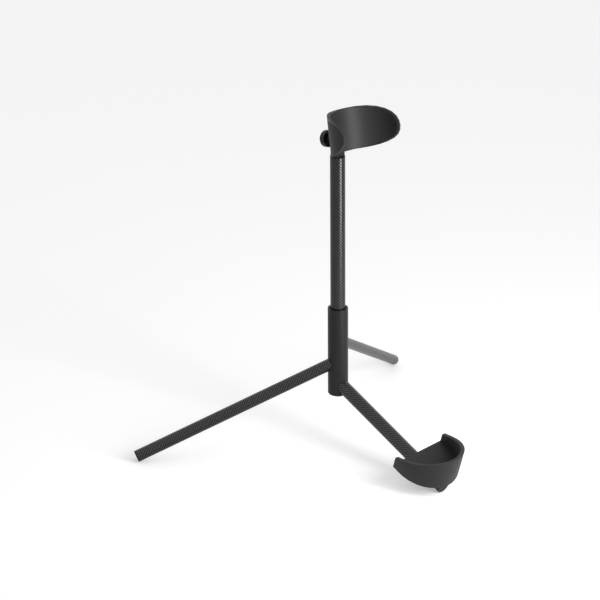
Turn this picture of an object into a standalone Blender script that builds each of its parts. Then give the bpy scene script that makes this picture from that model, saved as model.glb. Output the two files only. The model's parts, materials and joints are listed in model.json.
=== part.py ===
"""Bassoon stand: a tube mast and three plug-in legs in one hub.

The instrument's boot stands in a cup on the front leg and its body leans
into a padded cradle at the top of the mast. The origin is the middle of the
hub's flat base, +Z runs up the mast and the front leg points to -Y.
"""
from math import asin, atan2, cos, hypot, pi, radians, sin

import bmesh
import bpy
from mathutils import Matrix, Vector

MM = 0.001

# Clearance between touching pieces, and how far a cutter runs past a face
GAP = 0.3 * MM
PAST = 4 * MM

# Hub: a turned block with one bore for the mast and three leg sockets
HUB_DIAMETER = 27.2 * MM
HUB_LENGTH = 125.8 * MM
HUB_BASE_ABOVE_FLOOR = 73.2 * MM
HUB_BASE_ROUNDING = 2.2 * MM
HUB_MOUTH_ROUNDING = 0.7 * MM
HUB_MOUTH_CHAMFER = 1.0 * MM
MAST_INSERTION = 31 * MM

# Tubes: each leg is one size smaller, so that they pack inside each other
TUBE_WALL = 0.9 * MM
MAST_DIAMETER = 20 * MM
MAST_TOP = 341.3 * MM

# Legs: name, azimuth, diameter, socket height above the hub base, length
LEGS = (
    ("front", -90, 18 * MM, 17.0 * MM, 220.5 * MM),
    ("left", 150, 16 * MM, 48.0 * MM, 298 * MM),
    ("rear", 30, 14 * MM, 78.8 * MM, 298 * MM),
)
HUB_WALL_BEHIND_LEG = 2 * MM
FOOT_RIM = 1.6 * MM
FOOT_CHAMFER = 0.5 * MM
FOOT_SHANK = 14 * MM

# Grip rings: rubber rings in grooves of the sockets
RING_SECTION = 1.6 * MM
RING_PLACE_IN_LEG_SOCKET = 2 * MM
RING_BELOW_HUB_MOUTH = 9 * MM

# Head block: its spigot is pinned in the mast top, its seat carries the cradle
MAST_TURN = 2.5
HEAD_DIAMETER = 18.6 * MM
HEAD_SPIGOT = 25 * MM
HEAD_ABOVE_SCREW = 16 * MM
HEAD_TOP_ROUNDING = 1.5 * MM
HEAD_RELIEF_DEPTH = 6.4 * MM
HEAD_RELIEF_HEIGHT = 9.5 * MM
SCREW_HEIGHT = 364.9 * MM
SEAT_TILT = 12.85
SEAT_DISTANCE = 8.38 * MM
SPOT_FACE_DISTANCE = 8.2 * MM
PIN_DIAMETER = 3 * MM
PIN_LENGTH = 8 * MM
PIN_BELOW_MAST_TOP = 7 * MM

# Cradle: an oval strip bent to a half circle, with a lining inside
CRADLE_TURN = -3.9
CRADLE_RADIUS = 51.3 * MM
CRADLE_HEIGHT = 55.8 * MM
CRADLE_STRAIGHT = 24.5 * MM
CRADLE_END = 59.3 * MM
CRADLE_ABOVE_SCREW = 11.8 * MM
BAND_THICKNESS = 2.4 * MM
LINING_THICKNESS = 1.3 * MM
LINING_INSET = 0.6 * MM

# Cradle screw, washer, knob and its threaded insert
SCREW_DIAMETER = 6 * MM
SCREW_HEAD_DIAMETER = 10.4 * MM
SCREW_HEAD_HEIGHT = 2.0 * MM
WASHER_DIAMETER = 12 * MM
WASHER_THICKNESS = 1.0 * MM
KNOB_DIAMETER = 22.6 * MM
KNOB_THICKNESS = 8.3 * MM
KNOB_BOSS_DIAMETER = 12 * MM
KNOB_BOSS_REACH = 4.9 * MM
KNOB_GROOVE_DEPTH = 4.6 * MM
KNOB_RIM = 1.9 * MM
KNOB_ROUNDING = 1.8 * MM
KNOB_CAP = 2.2 * MM
INSERT_DIAMETER = 8 * MM
INSERT_LENGTH = 9 * MM

# Cup: a half bucket whose floor is parallel to the front leg
CUP_TURN = 6.2
CUP_PLACE = 164.5 * MM
CUP_HALF_WIDTH = 43.4 * MM
CUP_STRAIGHT = 13.2 * MM
CUP_FRONT = 49.9 * MM
CUP_WALL = 4.8 * MM
CUP_FLOOR = 5.1 * MM
CUP_FLOOR_ABOVE_LEG = 16.5 * MM
CUP_HEIGHT_OPEN = 11.8 * MM
CUP_HEIGHT_FRONT = 42.6 * MM
CUP_BOSS_WALL = 3.2 * MM
CUP_BOSS_LENGTH = 27.5 * MM
CUP_RING_PLACE = 7 * MM

# How finely round shapes are divided
ROUND = 48
FINE = 32
RING_SIDES = 6
STRIP_LENGTHWAYS = 40
STRIP_ACROSS = 14
SHARP = 35

CARBON = ("carbon_tube", (0.030, 0.030, 0.029), 0.32, 0.0)
BLACK_PLASTIC = ("black_plastic", (0.020, 0.020, 0.020), 0.45, 0.0)
CUP_PLASTIC = ("cup_plastic", (0.026, 0.026, 0.027), 0.55, 0.0)
LEATHER = ("leather_lining", (0.035, 0.035, 0.034), 0.60, 0.0)
RUBBER = ("rubber_ring", (0.015, 0.015, 0.015), 0.80, 0.0)
STEEL = ("blackened_steel", (0.060, 0.060, 0.060), 0.35, 1.0)
BRASS = ("brass_insert", (0.600, 0.420, 0.160), 0.30, 1.0)


def clear_scene():
    for old in list(bpy.data.objects):
        bpy.data.objects.remove(old)


def material_for(finish, node):
    """A material of the node's own, in the given finish."""
    label, colour, roughness, metallic = finish
    material = bpy.data.materials.new(node + "_" + label)
    material.use_nodes = True
    shader = material.node_tree.nodes["Principled BSDF"]
    shader.inputs["Base Color"].default_value = (*colour, 1)
    shader.inputs["Roughness"].default_value = roughness
    shader.inputs["Metallic"].default_value = metallic
    return material


def add_object(name, shape, frame, finish):
    """Link a bmesh as an object placed by its frame, shaded smooth."""
    bmesh.ops.recalc_face_normals(shape, faces=shape.faces)
    mesh = bpy.data.meshes.new(name)
    shape.to_mesh(mesh)
    shape.free()
    mesh.shade_smooth()
    mesh.set_sharp_from_angle(angle=radians(SHARP))
    piece = bpy.data.objects.new(name, mesh)
    bpy.context.scene.collection.objects.link(piece)
    piece.matrix_world = frame
    if finish:
        mesh.materials.append(material_for(finish, name))
    return piece


def add_pivot(name, frame):
    """An empty that stands on a joint's axis."""
    pivot = bpy.data.objects.new(name, None)
    pivot.empty_display_size = 0.03
    pivot.matrix_world = frame
    bpy.context.scene.collection.objects.link(pivot)
    return pivot


def carry(pivot, pieces):
    """Parent pieces to a pivot and leave them where they are."""
    for piece in pieces:
        piece.parent = pivot
        piece.matrix_parent_inverse = pivot.matrix_world.inverted()


def cut(piece, cutter, operation="DIFFERENCE"):
    """Cut a piece with a cutter object, or join the two."""
    cutter.hide_render = True
    cutter.display_type = "WIRE"
    modifier = piece.modifiers.new(cutter.name, "BOOLEAN")
    modifier.operation = operation
    modifier.solver = "EXACT"
    modifier.object = cutter


def turned(profile, steps=ROUND):
    """Turn a closed (radius, height) outline about local Z."""
    shape = bmesh.new()
    rings = []
    for radius, height in profile:
        if radius == 0:
            rings.append([shape.verts.new((0, 0, height))] * steps)
            continue
        angles = [2 * pi * step / steps for step in range(steps)]
        rings.append([shape.verts.new((radius * cos(a), radius * sin(a), height)) for a in angles])
    for low, high in zip(rings, rings[1:] + rings[:1]):
        for side in range(steps):
            after = (side + 1) % steps
            corners = list(dict.fromkeys((low[side], low[after], high[after], high[side])))
            if len(corners) > 2:
                shape.faces.new(corners)
    return shape


def tube_profile(outer, inner, low, high):
    return [(inner, low), (outer, low), (outer, high), (inner, high)]


def rod_profile(radius, low, high, low_chamfer=0.0, high_chamfer=0.0):
    profile = [(0, low), (radius - low_chamfer, low)]
    if low_chamfer:
        profile.append((radius, low + low_chamfer))
    if high_chamfer:
        profile.append((radius, high - high_chamfer))
    profile += [(radius - high_chamfer, high), (0, high)]
    return profile


def quarter(radius, height, rounding, upper, steps=4):
    """A quarter round at an outer corner of a turned profile, going up."""
    points = []
    for step in range(steps + 1):
        angle = pi / 2 * step / steps
        if upper:
            points.append((radius - rounding + rounding * cos(angle),
                           height - rounding + rounding * sin(angle)))
        else:
            points.append((radius - rounding + rounding * sin(angle),
                           height + rounding - rounding * cos(angle)))
    return points


def rod(radius, low, high, steps=ROUND):
    return turned(rod_profile(radius, low, high), steps)


def ring(radius, section, place):
    """A round ring whose inner side lies on the given radius."""
    middle = radius + section / 2
    profile = []
    for step in range(RING_SIDES):
        angle = 2 * pi * step / RING_SIDES
        profile.append((middle + section / 2 * cos(angle), place + section / 2 * sin(angle)))
    return turned(profile, FINE)


def bore_profile(shaft, low, high, ring_place):
    """The outline of a bore for a tube, with the groove of its grip ring."""
    bore = shaft + GAP
    deep = bore + RING_SECTION + GAP
    half = RING_SECTION / 2 + GAP
    return [(0, low), (bore, low), (bore, ring_place - half), (deep, ring_place - half),
            (deep, ring_place + half), (bore, ring_place + half), (bore, high), (0, high)]


def prism(outline, low, high):
    """A flat outline in local X and Z, extruded along local Y."""
    shape = bmesh.new()
    face = shape.faces.new([shape.verts.new((x, low, z)) for x, z in outline])
    grown = bmesh.ops.extrude_face_region(shape, geom=[face])
    moved = [item for item in grown["geom"] if isinstance(item, bmesh.types.BMVert)]
    bmesh.ops.translate(shape, verts=moved, vec=(0, high - low, 0))
    return shape


def block(low, high):
    outline = [(low[0], low[2]), (high[0], low[2]), (high[0], high[2]), (low[0], high[2])]
    return prism(outline, low[1], high[1])


def axes_frame(origin, outward, up):
    """A frame at a point: local Z outward, local Y up and local X to the side."""
    across = up.cross(outward)
    frame = Matrix((across, up, outward)).transposed().to_4x4()
    frame.translation = origin
    return frame


def leg_slope(diameter, height, length):
    """The angle at which the leg's lowest edge just meets the floor."""
    drop = height + HUB_BASE_ABOVE_FLOOR
    return asin(drop / hypot(length, diameter / 2)) - atan2(diameter / 2, length)


def leg_root(diameter, height, length):
    """How far past the hub's axis the leg's root end reaches in its blind socket."""
    bore = diameter / 2 + GAP
    reach = HUB_DIAMETER / 2 - HUB_WALL_BEHIND_LEG
    return (reach ** 2 - bore ** 2) ** 0.5 / cos(leg_slope(diameter, height, length)) - GAP


def leg_frame(azimuth, diameter, height, length):
    """Origin where the leg's axis meets the hub's axis, local Z outward."""
    slope = leg_slope(diameter, height, length)
    level = Vector((cos(radians(azimuth)), sin(radians(azimuth)), 0))
    outward = level * cos(slope) - Vector((0, 0, sin(slope)))
    up = level * sin(slope) + Vector((0, 0, cos(slope)))
    return axes_frame(Vector((0, 0, height)), outward, up)


def mast_frame():
    """Origin on the hub's axis at its base, turned as the mast stands."""
    return Matrix.Rotation(radians(MAST_TURN), 4, "Z")


def seat_frame():
    """Origin on the head's seat at the screw, local Z along the screw."""
    forward = Vector((0, -cos(radians(SEAT_TILT)), sin(radians(SEAT_TILT))))
    up = Vector((0, sin(radians(SEAT_TILT)), cos(radians(SEAT_TILT))))
    crossing = Vector((0, 0, SCREW_HEIGHT))
    return mast_frame() @ axes_frame(crossing + forward * SEAT_DISTANCE, forward, up)


def cradle_frame():
    return seat_frame() @ Matrix.Rotation(radians(CRADLE_TURN), 4, "Z")


def cup_frame():
    """Origin on the front leg's axis at the cup's open side."""
    place = Matrix.Translation((0, 0, CUP_PLACE))
    return leg_frame(*LEGS[0][1:]) @ place @ Matrix.Rotation(radians(CUP_TURN), 4, "Z")


def build_hub():
    radius = HUB_DIAMETER / 2
    profile = [(0, 0)] + quarter(radius, 0, HUB_BASE_ROUNDING, upper=False)
    profile += quarter(radius, HUB_LENGTH, HUB_MOUTH_ROUNDING, upper=True) + [(0, HUB_LENGTH)]
    hub = add_object("hub", turned(profile), Matrix.Identity(4), BLACK_PLASTIC)

    mast = MAST_DIAMETER / 2
    bore = bore_profile(mast, HUB_LENGTH - MAST_INSERTION, HUB_LENGTH - HUB_MOUTH_CHAMFER,
                        HUB_LENGTH - RING_BELOW_HUB_MOUTH)
    mouth = mast + GAP + HUB_MOUTH_CHAMFER + PAST
    bore[-1:] = [(mouth, HUB_LENGTH + PAST), (0, HUB_LENGTH + PAST)]
    cut(hub, add_object("cut_mast_bore", turned(bore), Matrix.Identity(4), None))

    for name, azimuth, diameter, height, length in LEGS:
        frame = leg_frame(azimuth, diameter, height, length)
        socket_end = -leg_root(diameter, height, length) - GAP
        socket = bore_profile(diameter / 2, socket_end, HUB_DIAMETER, RING_PLACE_IN_LEG_SOCKET)
        cut(hub, add_object("cut_" + name + "_socket", turned(socket), frame, None))
        grip = ring(diameter / 2 + GAP, RING_SECTION, RING_PLACE_IN_LEG_SOCKET)
        add_object(name + "_socket_ring", grip, frame, RUBBER)
    return hub


def build_leg(name, azimuth, diameter, height, length):
    """A carbon tube with a plug in its foot, both on the leg's own axis."""
    frame = leg_frame(azimuth, diameter, height, length)
    outer = diameter / 2
    inner = outer - TUBE_WALL
    tube_end = length - FOOT_RIM - GAP
    tube = tube_profile(outer, inner, -leg_root(diameter, height, length), tube_end)
    tube = add_object(name + "_leg_tube", turned(tube), frame, CARBON)
    shank = inner - GAP
    plug = [(0, tube_end - FOOT_SHANK), (shank, tube_end - FOOT_SHANK), (shank, tube_end + GAP)]
    plug += [(outer, tube_end + GAP), (outer, length - FOOT_CHAMFER)]
    plug += [(outer - FOOT_CHAMFER, length), (0, length)]
    plug = add_object(name + "_leg_foot", turned(plug), frame, BLACK_PLASTIC)
    carry(add_pivot(name + "_leg_axis", frame), [tube, plug])


def build_mast():
    frame = mast_frame()
    outer = MAST_DIAMETER / 2
    inner = outer - TUBE_WALL
    bottom = HUB_LENGTH - MAST_INSERTION + GAP
    tube = turned(tube_profile(outer, inner, bottom, MAST_TOP))
    tube = add_object("mast_tube", tube, frame, CARBON)
    grip = ring(outer + GAP, RING_SECTION, HUB_LENGTH - RING_BELOW_HUB_MOUTH)
    grip = add_object("mast_socket_ring", grip, frame, RUBBER)

    pin_frame = frame @ axes_frame(Vector((0, 0, MAST_TOP - PIN_BELOW_MAST_TOP)),
                                   Vector((0, -1, 0)), Vector((0, 0, 1)))
    pin_radius = PIN_DIAMETER / 2
    hole = rod(pin_radius + GAP, outer - PIN_LENGTH - GAP, outer + PAST, FINE)
    hole = add_object("cut_pin_hole", hole, pin_frame, None)
    cut(tube, hole)
    pin = turned(rod_profile(pin_radius, outer - PIN_LENGTH, outer, 0, GAP), FINE)
    pin = add_object("head_pin", pin, pin_frame, STEEL)

    head = build_head(frame, inner)
    cut(head, hole)
    carry(add_pivot("mast_axis", frame), [tube, grip, head, pin])


def build_head(frame, bore):
    """The block on the mast: an inclined seat in front, a spot face behind."""
    radius = HEAD_DIAMETER / 2
    spigot = bore - GAP
    top = SCREW_HEIGHT + HEAD_ABOVE_SCREW
    shoulder = MAST_TOP + GAP
    profile = [(0, MAST_TOP - HEAD_SPIGOT), (spigot, MAST_TOP - HEAD_SPIGOT), (spigot, shoulder)]
    profile += [(radius, shoulder)] + quarter(radius, top, HEAD_TOP_ROUNDING, upper=True)
    profile += [(0, top)]
    head = add_object("head_block", turned(profile), frame, BLACK_PLASTIC)

    seat = seat_frame()
    reach = HEAD_DIAMETER
    tall = HEAD_ABOVE_SCREW + HEAD_DIAMETER
    front = block((-reach, -tall, 0), (reach, tall, reach))
    cut(head, add_object("cut_seat", front, seat, None))
    behind = -SEAT_DISTANCE - SPOT_FACE_DISTANCE
    spot = WASHER_DIAMETER / 2 + PAST
    hole = SCREW_DIAMETER / 2 + GAP
    outline = [(0, behind - reach), (spot, behind - reach), (spot, behind), (hole, behind)]
    outline += [(hole, PAST), (0, PAST)]
    cut(head, add_object("cut_screw_hole", turned(outline, FINE), seat, None))
    relief = block((-reach, -reach, shoulder - GAP), (reach, -HEAD_RELIEF_DEPTH,
                                                      shoulder + HEAD_RELIEF_HEIGHT))
    cut(head, add_object("cut_relief", relief, frame, None))
    return head


def bent_strip(radius, inset):
    """The oval strip as a surface, bent about local Y behind the seat plane."""
    shape = bmesh.new()
    bmesh.ops.create_grid(shape, x_segments=STRIP_LENGTHWAYS, y_segments=STRIP_ACROSS, size=1)
    half_height = CRADLE_HEIGHT / 2 - inset
    straight = CRADLE_STRAIGHT
    rounded = CRADLE_END - inset
    middle = CRADLE_RADIUS - BAND_THICKNESS
    for vert in shape.verts:
        along, across = vert.co.x, vert.co.y
        height = half_height * sin(across * pi / 2)
        reach = straight + rounded * cos(across * pi / 2)
        angle = along * reach / middle
        vert.co = (radius * sin(angle), CRADLE_ABOVE_SCREW + height,
                   CRADLE_RADIUS - radius * cos(angle))
    return shape


def add_strip(name, outer_radius, thickness, inset, frame, finish):
    strip = add_object(name, bent_strip(outer_radius, inset), frame, finish)
    solid = strip.modifiers.new("thickness", "SOLIDIFY")
    solid.thickness = thickness
    solid.offset = 1
    solid.use_even_offset = True
    return strip


def build_cradle():
    frame = cradle_frame() @ Matrix.Translation((0, 0, GAP))
    band = add_strip("cradle_band", CRADLE_RADIUS, BAND_THICKNESS, 0, frame, BLACK_PLASTIC)
    lining_radius = CRADLE_RADIUS - BAND_THICKNESS - GAP
    lining = add_strip("cradle_lining", lining_radius, LINING_THICKNESS, LINING_INSET, frame,
                       LEATHER)

    shaft = SCREW_DIAMETER / 2
    head = SCREW_HEAD_DIAMETER / 2
    face = BAND_THICKNESS - GAP / 2
    tip = -SEAT_DISTANCE - SPOT_FACE_DISTANCE - WASHER_THICKNESS - INSERT_LENGTH - 2 * GAP
    profile = [(0, tip), (shaft - GAP, tip), (shaft, tip + GAP), (shaft, face - SCREW_HEAD_HEIGHT)]
    profile += [(head, face - GAP), (head, face), (0, face)]
    screw = add_object("cradle_screw", turned(profile, FINE), frame, STEEL)
    hole = [(0, -PAST), (shaft + GAP, -PAST), (shaft + GAP, face - SCREW_HEAD_HEIGHT - GAP / 2)]
    past = BAND_THICKNESS + PAST / 2
    hole += [(head + GAP, face - GAP), (head + GAP, past), (0, past)]
    hole = add_object("cut_screw_seat", turned(hole, FINE), frame, None)
    cut(band, hole)
    carry(add_pivot("cradle_axis", cradle_frame()), [band, lining, screw])


def build_knob():
    """The knob with its insert, and the washer on the head's spot face."""
    frame = seat_frame()
    shaft = SCREW_DIAMETER / 2 + GAP
    seat = -SEAT_DISTANCE - SPOT_FACE_DISTANCE - GAP
    washer = tube_profile(WASHER_DIAMETER / 2, shaft, seat - WASHER_THICKNESS, seat)
    washer = add_object("knob_washer", turned(washer, FINE), frame, STEEL)

    boss_end = seat - WASHER_THICKNESS - GAP
    face = boss_end - KNOB_BOSS_REACH
    back = face - KNOB_THICKNESS
    rim = KNOB_DIAMETER / 2
    boss = KNOB_BOSS_DIAMETER / 2
    pocket = INSERT_DIAMETER / 2 + GAP
    pocket_end = back + KNOB_CAP
    profile = [(0, back)] + quarter(rim, back, KNOB_ROUNDING, upper=False)
    profile += quarter(rim, face, KNOB_ROUNDING / 2, upper=True)
    profile += [(rim - KNOB_RIM, face), (rim - KNOB_RIM, face - KNOB_GROOVE_DEPTH)]
    profile += [(boss, face - KNOB_GROOVE_DEPTH), (boss, boss_end), (pocket, boss_end)]
    profile += [(pocket, pocket_end), (0, pocket_end)]
    knob = add_object("knob", turned(profile), frame, BLACK_PLASTIC)

    insert_end = boss_end - GAP - INSERT_LENGTH
    insert = tube_profile(INSERT_DIAMETER / 2, shaft, insert_end, boss_end - GAP)
    insert = add_object("knob_insert", turned(insert, FINE), frame, BRASS)
    carry(add_pivot("knob_axis", frame), [washer, knob, insert])


def cup_outline(inset, behind):
    """The half-bucket outline in local X and Z, round in front."""
    width = CUP_HALF_WIDTH - inset
    front = CUP_FRONT - inset
    outline = [(-width, behind)]
    for step in range(FINE + 1):
        angle = pi * step / FINE - pi / 2
        outline.append((width * sin(angle), CUP_STRAIGHT + front * cos(angle)))
    outline.append((width, behind))
    return outline


def build_cup():
    frame = cup_frame()
    floor = CUP_FLOOR_ABOVE_LEG
    underside = floor - CUP_FLOOR
    rim_open = floor + CUP_HEIGHT_OPEN
    rim_front = floor + CUP_HEIGHT_FRONT
    depth = CUP_STRAIGHT + CUP_FRONT

    body = prism(cup_outline(0, 0), underside, rim_front + PAST)
    slope = Vector((0, depth, rim_open - rim_front))
    bmesh.ops.bisect_plane(body, geom=body.verts[:] + body.edges[:] + body.faces[:],
                           plane_co=(0, rim_open, 0), plane_no=slope, clear_outer=True)
    bmesh.ops.holes_fill(body, edges=body.edges, sides=0)
    cup = add_object("cup", body, frame, CUP_PLASTIC)
    inside = prism(cup_outline(CUP_WALL, -PAST), floor, rim_front + 2 * PAST)
    cut(cup, add_object("cut_cup_inside", inside, frame, None))

    leg_radius = LEGS[0][2] / 2
    bore = leg_radius + GAP
    boss = bore + CUP_BOSS_WALL
    outline = [(boss, underside + CUP_FLOOR / 2)]
    angles = [-pi * step / FINE for step in range(FINE + 1)]
    outline += [(boss * cos(angle), boss * sin(angle)) for angle in angles]
    outline.append((-boss, underside + CUP_FLOOR / 2))
    saddle = bmesh.new()
    face = saddle.faces.new([saddle.verts.new((x, y, GAP)) for x, y in outline])
    grown = bmesh.ops.extrude_face_region(saddle, geom=[face])
    moved = [item for item in grown["geom"] if isinstance(item, bmesh.types.BMVert)]
    bmesh.ops.translate(saddle, verts=moved, vec=(0, 0, CUP_BOSS_LENGTH))
    cut(cup, add_object("cut_cup_saddle", saddle, frame, None), "UNION")
    socket = bore_profile(leg_radius, -PAST, CUP_BOSS_LENGTH + PAST, CUP_RING_PLACE)
    cut(cup, add_object("cut_cup_bore", turned(socket), frame, None))

    grip = add_object("cup_grip_ring", ring(bore, RING_SECTION, CUP_RING_PLACE), frame, RUBBER)
    carry(add_pivot("cup_axis", frame), [cup, grip])


def build_stand():
    clear_scene()
    build_hub()
    for leg in LEGS:
        build_leg(*leg)
    build_mast()
    build_cradle()
    build_knob()
    build_cup()


build_stand()
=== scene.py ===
"""Bassoon stand on a pale floor, seen as in the photograph."""

import json
from math import pi, radians

import bmesh
import bpy
from mathutils import Matrix, Vector


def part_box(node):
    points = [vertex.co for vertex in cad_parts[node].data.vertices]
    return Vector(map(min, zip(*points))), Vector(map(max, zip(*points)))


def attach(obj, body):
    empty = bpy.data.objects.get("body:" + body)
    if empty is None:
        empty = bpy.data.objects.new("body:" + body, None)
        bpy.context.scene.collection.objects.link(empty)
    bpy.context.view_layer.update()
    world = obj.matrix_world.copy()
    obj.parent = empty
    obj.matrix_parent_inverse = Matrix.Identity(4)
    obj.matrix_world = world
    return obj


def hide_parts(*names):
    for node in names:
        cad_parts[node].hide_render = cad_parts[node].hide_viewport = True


MM = 0.001

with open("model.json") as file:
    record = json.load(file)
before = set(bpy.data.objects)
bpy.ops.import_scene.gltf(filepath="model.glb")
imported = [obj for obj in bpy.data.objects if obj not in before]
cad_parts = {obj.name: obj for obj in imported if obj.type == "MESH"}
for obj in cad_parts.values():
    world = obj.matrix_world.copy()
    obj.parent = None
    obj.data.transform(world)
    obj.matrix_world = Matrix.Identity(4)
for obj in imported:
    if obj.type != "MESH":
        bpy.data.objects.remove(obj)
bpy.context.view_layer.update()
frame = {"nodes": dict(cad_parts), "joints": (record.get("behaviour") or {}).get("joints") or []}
nodes = frame["nodes"]

# Camera, fitted to the tubes, hub, cradle and cup in the photograph: its lens in the photograph's
# pixels, its place in metres beside, in front of and above the hub's foot on the floor, and its
# angles in degrees
IMAGE_SIDE = 600
SENSOR = 36
FOCAL_PIXELS = 3241
PRINCIPAL_X = 352
CAMERA_ASIDE = 18.75 * MM
CAMERA_AWAY = 3924.3 * MM
CAMERA_ABOVE_FLOOR = 1960.8 * MM
CAMERA_PITCH = 24.05
CAMERA_AZIMUTH = -42.5
CAMERA_REACH = 100

# Height of the floor, just under the feet, where the hub's base is at zero
FLOOR = -73.2 * MM
FLOOR_SIDE = 30
FLOOR_COLOUR = (0.93, 0.93, 0.93)
FLOOR_ROUGHNESS = 0.9
FLOOR_SPECULAR = 0.1

# What the floor adds to its own brightness, to the camera alone
FLOOR_LIFT = 0.27

# Strength of the white room's light, and what it gains where the room itself is seen or mirrored
WHITE = (1, 1, 1, 1)
FILL_LIGHT = 0.6
ROOM_LIFT = 0.4

# Key light: degrees to the right of the camera and above the floor, strength, and width in degrees
KEY_AZIMUTH = 40
KEY_ELEVATION = 30
KEY_STRENGTH = 0.4
KEY_WIDTH = 30

# Soft box beside the stand: degrees to the right of the camera, metres, and watts
BOX_AZIMUTH = 48
BOX_DISTANCE = 0.75
BOX_HEIGHT = 0.36
BOX_SIZE = (0.26, 0.7)
BOX_POWER = 6

# Each tube's outside diameter, and the joint whose axis it lies along
TUBES = {
    "mast_tube": (20 * MM, "mast_lift"),
    "front_leg_tube": (18 * MM, "front_leg_pull"),
    "left_leg_tube": (16 * MM, "left_leg_pull"),
    "rear_leg_tube": (14 * MM, "rear_leg_pull"),
}

# Weave of the tubes: one tow's width, the tows after which it repeats, and the warp's share of them
TOW = 1.05 * MM
REPEAT = 4
WARP_SHARE = 0.5

# The weft's colour and specular level, and the warp's, whose level is added to the weft's
WEFT_COLOUR = (0.004, 0.004, 0.0035)
WARP_COLOUR = (0.0065, 0.006, 0.005)
WEFT_SHINE = 0.03
WARP_SHINE = 0.5
CARBON_ROUGHNESS = 0.3
COAT_WEIGHT = 0.5
COAT_ROUGHNESS = 0.12

# Plain finishes
SPECULAR = 0.3
RUBBER = {"colour": (0.012, 0.012, 0.012), "roughness": 0.8}
STEEL = {"colour": (0.08, 0.08, 0.08), "roughness": 0.35, "metallic": 1.0}
BRASS = {"colour": (0.6, 0.42, 0.16), "roughness": 0.3, "metallic": 1.0}

# Finishes with an irregular grain of this width and depth
SATIN = {"colour": (0.007, 0.007, 0.007), "roughness": 0.42, "grain": 1.5 * MM, "depth": 0.02 * MM}
MOULDED = {"colour": (0.013, 0.013, 0.0135), "roughness": 0.5, "grain": 1.2 * MM, "depth": 0.05 * MM}
LEATHER = {"colour": (0.016, 0.016, 0.0155), "roughness": 0.5, "grain": 2.5 * MM, "depth": 0.15 * MM}
# Painted highlight: a light grey for the band's rounded and cut edges, where light catches them
PAINTED_EDGE_HIGHLIGHT = {"colour": (0.22, 0.22, 0.216), "roughness": 0.6, "grain": 1.5 * MM, "depth": 0.1 * MM}
GRAIN_DETAIL = 3
GRAIN_STRENGTH = 0.35

# Pieces shown as they come, by finish
SATIN_NODES = ("hub", "knob", "front_leg_foot", "left_leg_foot", "rear_leg_foot")
STEEL_NODES = ("cradle_screw", "knob_washer", "head_pin")

# Rounded edges of the pieces shown as copies: the width of each, and the angle in degrees past
# which an edge is rounded
CUP_ROUNDING = 1.7 * MM
BAND_ROUNDING = 0.8 * MM
LINING_ROUNDING = 0.4 * MM
BLOCK_ROUNDING = 0.4 * MM
ROUNDING_STEPS = 3
ROUND_PROFILE = 0.5
SHARP = 38

# A copy's points closer than this are merged, and faces flatter than this many degrees are joined
MERGE = 0.001 * MM
FLAT = 1

# A strip's cut edge is made of faces smaller than this, with two sharp edges or more
RIM_AREA = 40 * MM * MM
RIM_EDGES = 2


def add(name, data):
    """A new object in the scene."""
    thing = bpy.data.objects.new(name, data)
    bpy.context.scene.collection.objects.link(thing)
    return thing


def math_node(tree, operation, *values):
    """The output of a math node whose inputs are sockets or plain numbers."""
    node = tree.nodes.new("ShaderNodeMath")
    node.operation = operation
    for socket, value in zip(node.inputs, values):
        if isinstance(value, bpy.types.NodeSocket):
            tree.links.new(value, socket)
        else:
            socket.default_value = value
    return node.outputs[0]


def new_group(name, number, output):
    """A shader group with inputs Vector and one number; returns it with its two ends."""
    group = bpy.data.node_groups.new(name, "ShaderNodeTree")
    group.interface.new_socket("Vector", in_out="INPUT", socket_type="NodeSocketVector")
    group.interface.new_socket(number, in_out="INPUT", socket_type="NodeSocketFloat")
    group.interface.new_socket(output, in_out="OUTPUT", socket_type="NodeSocketFloat")
    return group, group.nodes.new("NodeGroupInput"), group.nodes.new("NodeGroupOutput")


def twill_group():
    """Mask of a 2/2 twill on a tube that stands along Z: 1 where the warp shows."""
    group, source, result = new_group("twill", "Tows", "Mask")
    parts = group.nodes.new("ShaderNodeSeparateXYZ")
    group.links.new(source.outputs["Vector"], parts.inputs[0])
    turn = math_node(group, "ARCTAN2", parts.outputs["Y"], parts.outputs["X"])
    turn = math_node(group, "DIVIDE", turn, 2 * pi)
    around = math_node(group, "FLOOR", math_node(group, "MULTIPLY", turn, source.outputs["Tows"]))
    along = math_node(group, "FLOOR", math_node(group, "DIVIDE", parts.outputs["Z"], TOW))
    step = math_node(group, "DIVIDE", math_node(group, "ADD", around, along), REPEAT)
    step = math_node(group, "FRACT", step)
    group.links.new(math_node(group, "LESS_THAN", step, WARP_SHARE), result.inputs["Mask"])
    return group


def grain_group():
    """Height of a fine irregular grain; Scale is one over the grain's width."""
    group, source, result = new_group("grain", "Scale", "Height")
    noise = group.nodes.new("ShaderNodeTexNoise")
    noise.inputs["Detail"].default_value = GRAIN_DETAIL
    group.links.new(source.outputs["Vector"], noise.inputs["Vector"])
    group.links.new(source.outputs["Scale"], noise.inputs["Scale"])
    group.links.new(noise.outputs["Fac"], result.inputs["Height"])
    return group


def place_group(tree, group, vector, value):
    """The output of a group placed in a material, with its vector and its number given."""
    placed = tree.nodes.new("ShaderNodeGroup")
    placed.node_tree = group
    tree.links.new(vector, placed.inputs[0])
    placed.inputs[1].default_value = value
    return placed.outputs[0]


def object_coordinates(tree):
    """The place of each point in the object's own frame."""
    return tree.nodes.new("ShaderNodeTexCoord").outputs["Object"]


def material(name, colour, roughness, metallic=0.0, specular=SPECULAR):
    """A plain Principled material; returns it with its node tree and shader."""
    made = bpy.data.materials.new(name)
    made.use_nodes = True
    shader = made.node_tree.nodes["Principled BSDF"]
    shader.inputs["Base Color"].default_value = (*colour, 1)
    shader.inputs["Roughness"].default_value = roughness
    shader.inputs["Metallic"].default_value = metallic
    shader.inputs["Specular IOR Level"].default_value = specular
    return made, made.node_tree, shader


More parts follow.
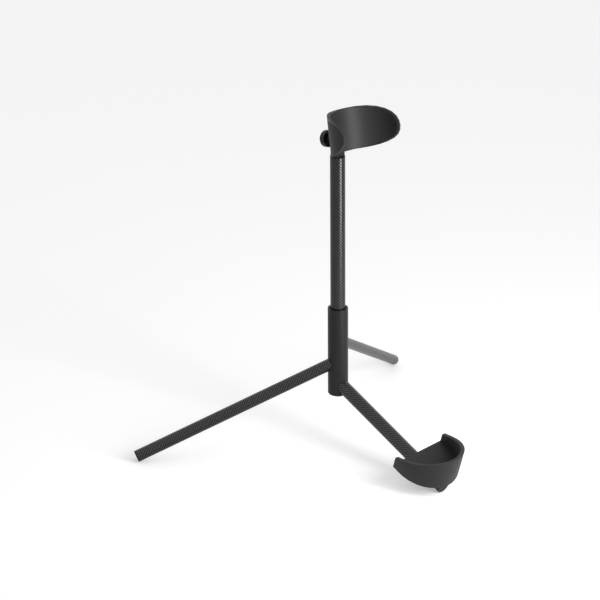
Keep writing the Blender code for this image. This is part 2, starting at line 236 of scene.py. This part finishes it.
def grained(name, group, colour, roughness, grain, depth):
    """A moulded or leather surface with a fine irregular grain."""
    made, tree, shader = material(name, colour, roughness)
    bump = tree.nodes.new("ShaderNodeBump")
    bump.inputs["Strength"].default_value = GRAIN_STRENGTH
    bump.inputs["Distance"].default_value = depth
    height = place_group(tree, group, object_coordinates(tree), 1 / grain)
    tree.links.new(height, bump.inputs["Height"])
    tree.links.new(bump.outputs["Normal"], shader.inputs["Normal"])
    return made


def carbon(node, diameter, axis, twill):
    """Clear-coated carbon weave that follows one tube's own axis."""
    made, tree, shader = material(node + "_weave", WEFT_COLOUR, CARBON_ROUGHNESS)
    low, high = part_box(node)
    upright = tree.nodes.new("ShaderNodeMapping")
    upright.vector_type = "TEXTURE"
    upright.inputs["Location"].default_value = (Vector(low) + Vector(high)) / 2
    upright.inputs["Rotation"].default_value = Vector((0, 0, 1)).rotation_difference(axis).to_euler()
    tree.links.new(object_coordinates(tree), upright.inputs["Vector"])
    tows = REPEAT * round(pi * diameter / TOW / REPEAT)
    mask = place_group(tree, twill, upright.outputs["Vector"], tows)
    colour = tree.nodes.new("ShaderNodeMix")
    colour.data_type = "RGBA"
    colour.inputs["A"].default_value = (*WEFT_COLOUR, 1)
    colour.inputs["B"].default_value = (*WARP_COLOUR, 1)
    tree.links.new(mask, colour.inputs["Factor"])
    tree.links.new(colour.outputs["Result"], shader.inputs["Base Color"])
    shine = math_node(tree, "MULTIPLY_ADD", mask, WARP_SHINE, WEFT_SHINE)
    tree.links.new(shine, shader.inputs["Specular IOR Level"])
    shader.inputs["Coat Weight"].default_value = COAT_WEIGHT
    shader.inputs["Coat Roughness"].default_value = COAT_ROUGHNESS
    return made


def dress(node, made):
    """Give a CAD node one material."""
    nodes[node].data.materials.clear()
    nodes[node].data.materials.append(made)


def rounded(node, body, width, *materials):
    """Show a copy of a CAD node with its sharp edges rounded, in the node's place.

    The first material covers the piece, and the last one its rounded and cut edges.
    """
    shape = bmesh.new()
    shape.from_mesh(nodes[node].data)
    bmesh.ops.remove_doubles(shape, verts=shape.verts, dist=MERGE)
    bmesh.ops.dissolve_limit(shape, angle_limit=radians(FLAT), verts=shape.verts, edges=shape.edges)
    limit = radians(SHARP)
    sharp = [edge for edge in shape.edges if edge.is_manifold and edge.calc_face_angle() > limit]
    edge_slot = len(materials) - 1
    rim_edges = set(sharp)
    for face in shape.faces:
        rim = face.calc_area() < RIM_AREA and len(rim_edges.intersection(face.edges)) >= RIM_EDGES
        face.material_index = edge_slot if rim else 0
    rounding = bmesh.ops.bevel(shape, geom=sharp, offset=width, segments=ROUNDING_STEPS,
                               profile=ROUND_PROFILE, affect="EDGES", clamp_overlap=True, material=-1)
    for face in rounding["faces"]:
        face.material_index = edge_slot
    mesh = bpy.data.meshes.new(node + "_rounded")
    shape.to_mesh(mesh)
    shape.free()
    for old_shading in ("custom_normal", "sharp_edge"):
        if old_shading in mesh.attributes:
            mesh.attributes.remove(mesh.attributes[old_shading])
    for made in materials:
        mesh.materials.append(made)
    mesh.shade_smooth()
    mesh.set_sharp_from_angle(angle=limit)
    piece = add(node + "_rounded", mesh)
    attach(piece, body)
    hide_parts(node)


def dress_stand():
    """Give every piece its finish, and round those whose edges show."""
    twill = twill_group()
    axes = {joint["name"]: Vector(joint["axis"]) for joint in frame["joints"]}
    for node, (diameter, joint) in TUBES.items():
        dress(node, carbon(node, diameter, axes[joint], twill))

    grain = grain_group()
    satin = grained("black_satin", grain, **SATIN)
    for node in SATIN_NODES:
        dress(node, satin)
    rubber = material("rubber", **RUBBER)[0]
    for node in nodes:
        if node.endswith("_ring"):
            dress(node, rubber)
    steel = material("blackened_steel", **STEEL)[0]
    for node in STEEL_NODES:
        dress(node, steel)
    dress("knob_insert", material("brass", **BRASS)[0])

    rounded("cup", "cup", CUP_ROUNDING, grained("moulded_black", grain, **MOULDED))
    leather = grained("leather", grain, **LEATHER)
    # The band's rounded and cut edges get the light grey painted highlight, not a colour of their own
    painted_edge_highlight = grained("leather_painted_edge_highlight", grain, **PAINTED_EDGE_HIGHLIGHT)
    rounded("cradle_band", "cradle", BAND_ROUNDING, leather, painted_edge_highlight)
    rounded("cradle_lining", "cradle", LINING_ROUNDING, leather)
    rounded("head_block", "mast", BLOCK_ROUNDING, satin)


def make_floor():
    """A floor that looks white to the camera and keeps the stand's shadow."""
    shape = bmesh.new()
    bmesh.ops.create_grid(shape, x_segments=1, y_segments=1, size=FLOOR_SIDE / 2)
    bmesh.ops.translate(shape, verts=shape.verts, vec=(0, 0, FLOOR))
    mesh = bpy.data.meshes.new("floor")
    shape.to_mesh(mesh)
    shape.free()
    made, tree, shader = material("floor_white", FLOOR_COLOUR, FLOOR_ROUGHNESS, specular=FLOOR_SPECULAR)
    shader.inputs["Emission Color"].default_value = WHITE
    path = tree.nodes.new("ShaderNodeLightPath")
    lift = math_node(tree, "MULTIPLY", path.outputs["Is Camera Ray"], FLOOR_LIFT)
    tree.links.new(lift, shader.inputs["Emission Strength"])
    mesh.materials.append(made)
    add("floor", mesh)


def make_world():
    """White to the camera and in reflections, plain fill light otherwise."""
    world = bpy.data.worlds.new("white_room")
    world.use_nodes = True
    tree = world.node_tree
    background = tree.nodes["Background"]
    background.inputs["Color"].default_value = WHITE
    path = tree.nodes.new("ShaderNodeLightPath")
    seen = math_node(tree, "MAXIMUM", path.outputs["Is Camera Ray"], path.outputs["Is Glossy Ray"])
    strength = math_node(tree, "MULTIPLY_ADD", seen, ROOM_LIFT, FILL_LIGHT)
    tree.links.new(strength, background.inputs["Strength"])
    bpy.context.scene.world = world


def make_key_light():
    """A broad sun over the camera's right shoulder."""
    lamp = bpy.data.lights.new("key_sun", "SUN")
    lamp.energy = KEY_STRENGTH
    lamp.angle = radians(KEY_WIDTH)
    turn = radians(CAMERA_AZIMUTH + KEY_AZIMUTH)
    add("key_sun", lamp).rotation_euler = (radians(90 - KEY_ELEVATION), 0, turn)


def make_soft_box():
    """A soft box to the right of the camera that faces the stand."""
    lamp = bpy.data.lights.new("side_box", "AREA")
    lamp.shape = "RECTANGLE"
    lamp.size, lamp.size_y = BOX_SIZE
    lamp.energy = BOX_POWER
    turn = radians(CAMERA_AZIMUTH + BOX_AZIMUTH)
    box = add("side_box", lamp)
    box.location = Matrix.Rotation(turn, 3, "Z") @ Vector((0, -BOX_DISTANCE, FLOOR + BOX_HEIGHT))
    box.rotation_euler = (radians(90), 0, turn)


def make_camera():
    """The photograph's camera."""
    lens = bpy.data.cameras.new("camera")
    lens.sensor_width = SENSOR
    lens.lens = FOCAL_PIXELS / IMAGE_SIDE * SENSOR
    lens.shift_x = (IMAGE_SIDE / 2 - PRINCIPAL_X) / IMAGE_SIDE
    lens.clip_end = CAMERA_REACH
    turn = radians(CAMERA_AZIMUTH)
    place = Vector((CAMERA_ASIDE, -CAMERA_AWAY, CAMERA_ABOVE_FLOOR + FLOOR))
    camera = add("camera", lens)
    camera.location = Matrix.Rotation(turn, 3, "Z") @ place
    camera.rotation_euler = (radians(90 - CAMERA_PITCH), 0, turn)
    bpy.context.scene.camera = camera


dress_stand()
make_floor()
make_world()
make_key_light()
make_soft_box()
make_camera()
bpy.context.scene.view_settings.view_transform = "Standard"
